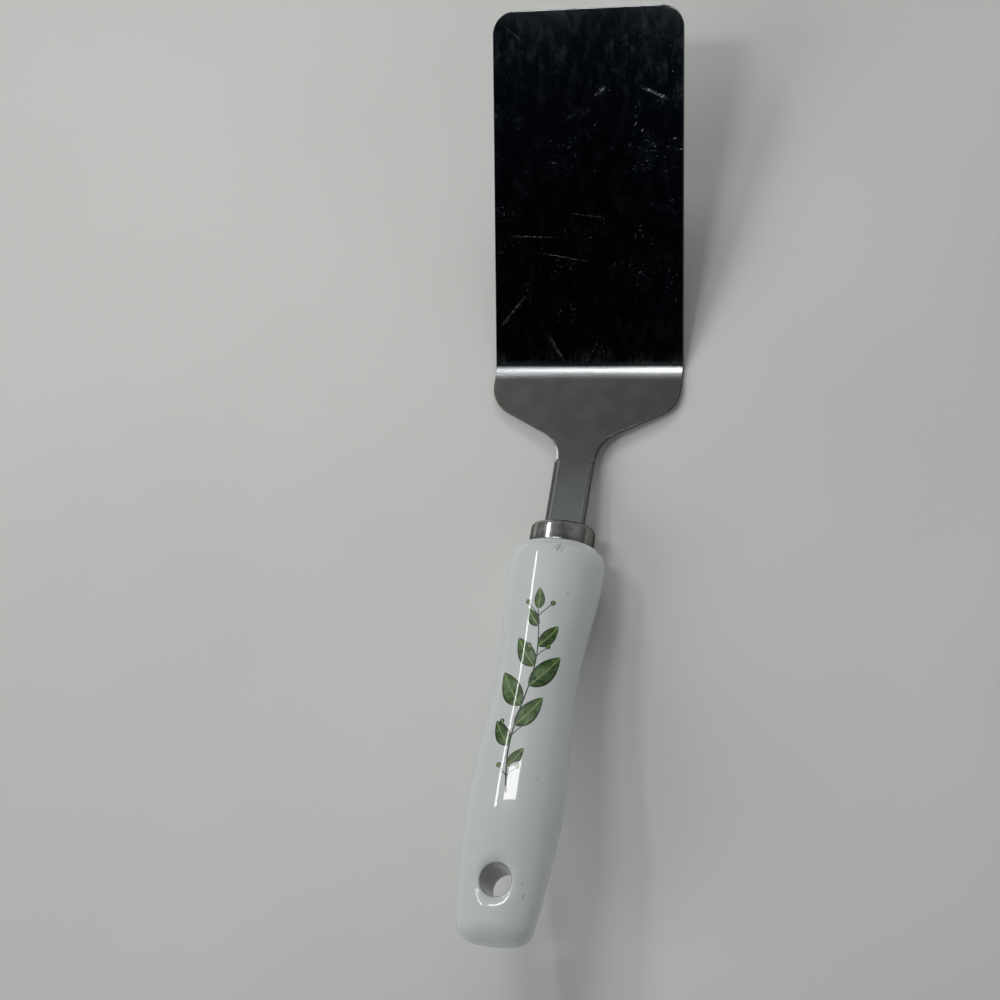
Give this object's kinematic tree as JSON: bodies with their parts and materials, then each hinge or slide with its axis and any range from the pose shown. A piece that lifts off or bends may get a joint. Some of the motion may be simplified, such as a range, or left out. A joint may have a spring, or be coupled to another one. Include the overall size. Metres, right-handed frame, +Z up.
{
  "type": "serving spatula",
  "caption": "Serving spatula: a flat polished steel blade with rounded tip corners, a cranked flanged shank, an oval ferrule and a waisted glazed porcelain handle with a hanging hole.",
  "frame": {"origin": "on the table, under the middle of the bounding box, with the spatula lying face up", "axes": "+Y along the spatula from the butt of the handle to the tip of the blade, +Z up, +X across the blade"},
  "size_m": [0.07, 0.3228, 0.0462],
  "materials": {
    "polished_steel": "mirror-polished stainless steel with fine scuffs",
    "ferrule_steel": "drawn and polished stainless steel",
    "porcelain": "clear gloss glaze over white porcelain",
    "print": "green leaf print fired under the glaze",
    "cement": "matt set cement"
  },
  "bodies": {
    "root": {"blade": "polished_steel", "ferrule": "ferrule_steel", "handle": "porcelain", "tang_cement": "cement"}
  },
  "joints": []
}
